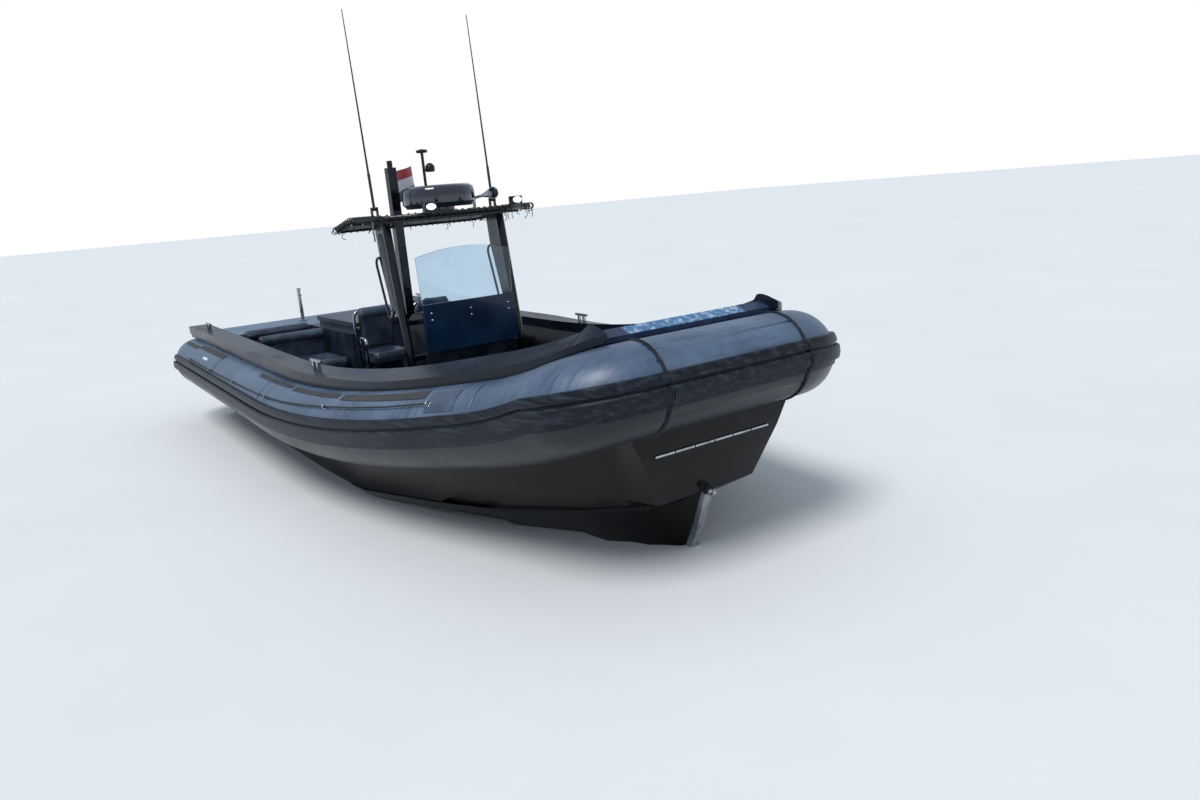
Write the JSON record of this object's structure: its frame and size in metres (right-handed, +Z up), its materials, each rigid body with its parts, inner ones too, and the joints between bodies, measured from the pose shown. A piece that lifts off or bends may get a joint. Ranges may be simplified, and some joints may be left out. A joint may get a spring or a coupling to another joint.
{
  "type": "rigid inflatable patrol boat",
  "caption": "Rigid inflatable boat with a deep-vee hull, an air collar with rubbing strakes, a console with a hard top, sprung seats and a water jet.",
  "frame": {"origin": "on the centreline at the resting waterline, about amidships", "axes": "+X forward, +Y to port, +Z up"},
  "size_m": [8.3863, 3.484, 4.4643],
  "materials": {
    "hull_gelcoat": "polished black gelcoat",
    "tube_fabric": "satin coated collar fabric",
    "strake_rubber": "matte moulded rubber",
    "cap_rubber": "weathered non-slip rubber",
    "chequer_metal": "raised diamond pattern, bright",
    "bright_steel": "polished stainless",
    "deck_grey": "non-slip deck paint",
    "box_paint": "satin grey paint",
    "engine_iron": "painted casting",
    "jet_metal": "cast, grey",
    "panel_blue": "gloss dark blue",
    "screen_glass": "lightly tinted",
    "console_paint": "gloss dark blue-black",
    "black_plastic": "fine grained",
    "display_glass": "glossy",
    "wheel_rubber": "soft grip",
    "black_paint": "gloss black paint",
    "canopy_fabric": "laced canvas",
    "radome_plastic": "satin dark grey",
    "horn_metal": "dark paint",
    "lamp_body": "with a clear front",
    "antenna_plastic": "dark glass fibre",
    "flag_cloth": "woven, three stripes",
    "seat_leather": "grained upholstery",
    "seat_steel": "satin and bright steel",
    "rope_black": "braided rope"
  },
  "bodies": {
    "root": {"after_deck": "deck_grey", "arch_webs": "black_paint", "bench_backs": "seat_leather", "bench_boxes": "box_paint", "bench_cushions": "seat_leather", "bow_pad": "cap_rubber", "chequer_plates": "chequer_metal", "cleats": "bright_steel", "cockpit_sole": "deck_grey", "console": "console_paint", "deck_bolsters": "seat_leather", "displays": "display_glass", "engine": "engine_iron", "engine_box": "box_paint", "ensign": "flag_cloth", "floodlights": "lamp_body", "front_panel": "panel_blue", "front_pillars": "black_paint", "gunwale_caps": "cap_rubber", "horn": "horn_metal", "hull": "hull_gelcoat", "jet_housing": "jet_metal", "lid_hinges": "bright_steel", "lifeline_eyes": "bright_steel", "lifelines": "rope_black", "mast_post": "black_paint", "nose_tube": "tube_fabric", "port_bulwark": "hull_gelcoat", "port_tube": "tube_fabric", "radome": "radome_plastic", "rub_strakes": "strake_rubber", "seat_backs": "seat_leather", "seat_cushions": "seat_leather", "seat_frames": "seat_steel", "sensor_mast": "black_plastic", "spray_rails": "hull_gelcoat", "starboard_bulwark": "hull_gelcoat", "starboard_tube": "tube_fabric", "stem_strip": "bright_steel", "throttle": "black_plastic", "top_canopy": "canopy_fabric", "top_frame": "black_paint", "tow_post": "bright_steel", "towing_eyes": "bright_steel", "transom": "hull_gelcoat", "windscreen": "screen_glass"},
    "steering_wheel": {"steering_wheel": "wheel_rubber"},
    "jet_nozzle": {"jet_nozzle": "jet_metal"},
    "reverse_bucket": {"reverse_bucket": "jet_metal"},
    "engine_lid": {"engine_lid": "box_paint"},
    "starboard_antenna": {"starboard_antenna": "antenna_plastic"},
    "port_antenna": {"port_antenna": "antenna_plastic"}
  },
  "joints": [
    {"name": "steering", "type": "hinge", "parent": "root", "child": "steering_wheel", "pos_m": [-0.31, 0.24, 1.14], "axis": [-0.9063, 0, 0.4226], "range_deg": [-540, 540]},
    {"name": "nozzle_turn", "type": "hinge", "parent": "root", "child": "jet_nozzle", "pos_m": [-4.35, 0, -0.17], "axis": [0, 0, 1], "range_deg": [-27, 27]},
    {"name": "bucket_drop", "type": "hinge", "parent": "jet_nozzle", "child": "reverse_bucket", "pos_m": [-4.42, 0, -0.17], "axis": [0, -1, 0], "range_deg": [0, 52]},
    {"name": "lid_lift", "type": "hinge", "parent": "root", "child": "engine_lid", "pos_m": [-3.066, 0, 1.108], "axis": [0, -1, 0], "range_deg": [0, 78]},
    {"name": "starboard_antenna_fold", "type": "hinge", "parent": "root", "child": "starboard_antenna", "pos_m": [-0.098, -0.569, 2.288], "axis": [0, -1, 0], "range_deg": [0, 86]},
    {"name": "port_antenna_fold", "type": "hinge", "parent": "root", "child": "port_antenna", "pos_m": [-0.098, 0.569, 2.288], "axis": [0, -1, 0], "range_deg": [0, 86]}
  ],
  "couplings": [
    {"joint": "nozzle_turn", "follows": "steering", "ratio": -0.05}
  ]
}
